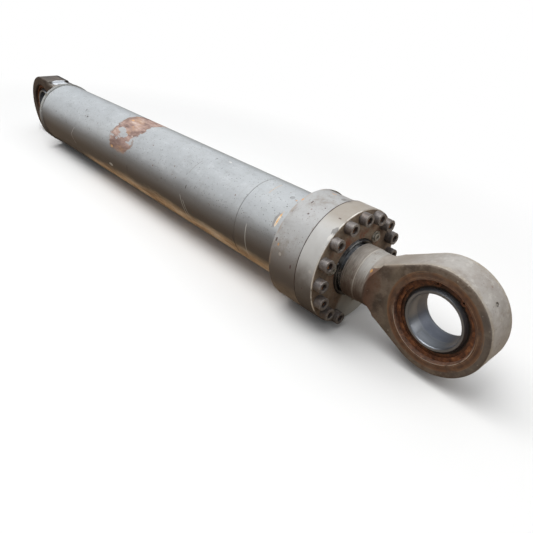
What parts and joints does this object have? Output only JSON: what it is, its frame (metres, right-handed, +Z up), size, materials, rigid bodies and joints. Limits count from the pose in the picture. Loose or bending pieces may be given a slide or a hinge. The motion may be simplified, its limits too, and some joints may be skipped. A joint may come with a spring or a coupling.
{
  "type": "hydraulic boom cylinder",
  "caption": "Heavy double-acting hydraulic cylinder, drawn retracted: welded barrel with a screwed-on gland, chromed rod, and spherical plain bearings in its two forged eyes.",
  "frame": {"origin": "centre of the base eye's pin bore", "axes": "+X along the cylinder towards the rod eye, +Y along both pins, +Z up with the base-side port on top"},
  "size_m": [2.619, 0.34, 0.34],
  "materials": {
    "barrel_paint": "satin grey paint, scuffed, speckled and rust-stained",
    "forging_paint": "grey paint on forged steel, brown with old grease and rust",
    "gland_paint": "grey paint under rusty dirt",
    "rod_chrome": "ground and hard-chromed",
    "turned_steel": "turned, oiled",
    "bearing_steel": "ground steel, greasy and rust-stained",
    "ball_steel": "polished hardened steel",
    "spring_steel": "blackened spring steel, rusty",
    "zinc_steel": "zinc-plated, dulled",
    "screw_steel": "blackened steel, dusty",
    "seal_rubber": "black, oily",
    "seal_plastic": "filled plastic, satin",
    "guide_plastic": "fabric-reinforced resin"
  },
  "bodies": {
    "barrel": {"barrel_tube": "barrel_paint", "barrel_collar": "barrel_paint", "base_eye_cap": "forging_paint", "base_bearing_outer_ring": "bearing_steel", "base_circlips": "spring_steel", "base_grease_nipple": "zinc_steel", "base_bleed_plug": "zinc_steel", "gland": "gland_paint", "gland_screws": "screw_steel", "gland_plug_screws": "zinc_steel", "rod_wiper": "seal_rubber", "rod_seal": "seal_rubber", "rod_buffer_seal": "seal_plastic", "rod_guide_rings": "guide_plastic", "gland_o_ring": "seal_rubber", "gland_backup_ring": "seal_plastic"},
    "piston_rings": {"piston_seal": "seal_plastic", "piston_seal_energiser": "seal_rubber", "piston_wear_rings": "guide_plastic"},
    "rod": {"piston_rod": "rod_chrome", "rod_eye": "forging_paint", "rod_bearing_outer_ring": "bearing_steel", "rod_circlips": "spring_steel", "rod_grease_nipple": "zinc_steel", "piston": "turned_steel", "piston_o_ring": "seal_rubber", "piston_nut": "turned_steel", "nut_lock_screw": "screw_steel", "cushion_sleeve": "turned_steel"},
    "rod_eye_ball": {"rod_bearing_inner_ring": "ball_steel"},
    "base_eye_ball": {"base_bearing_inner_ring": "ball_steel"}
  },
  "joints": [
    {"name": "rod_slide", "type": "slide", "parent": "barrel", "child": "piston_rings", "axis": [1, 0, 0], "range_m": [0, 1.48]},
    {"name": "rod_turn", "type": "hinge", "parent": "piston_rings", "child": "rod", "pos_m": [0.3515, 0, 0], "axis": [1, 0, 0], "continuous": true},
    {"name": "rod_bearing_turn", "type": "hinge", "parent": "rod", "child": "rod_eye_ball", "pos_m": [2.332, 0, 0], "axis": [0, 1, 0], "continuous": true},
    {"name": "base_bearing_turn", "type": "hinge", "parent": "barrel", "child": "base_eye_ball", "pos_m": [0, 0, 0], "axis": [0, 1, 0], "continuous": true}
  ]
}
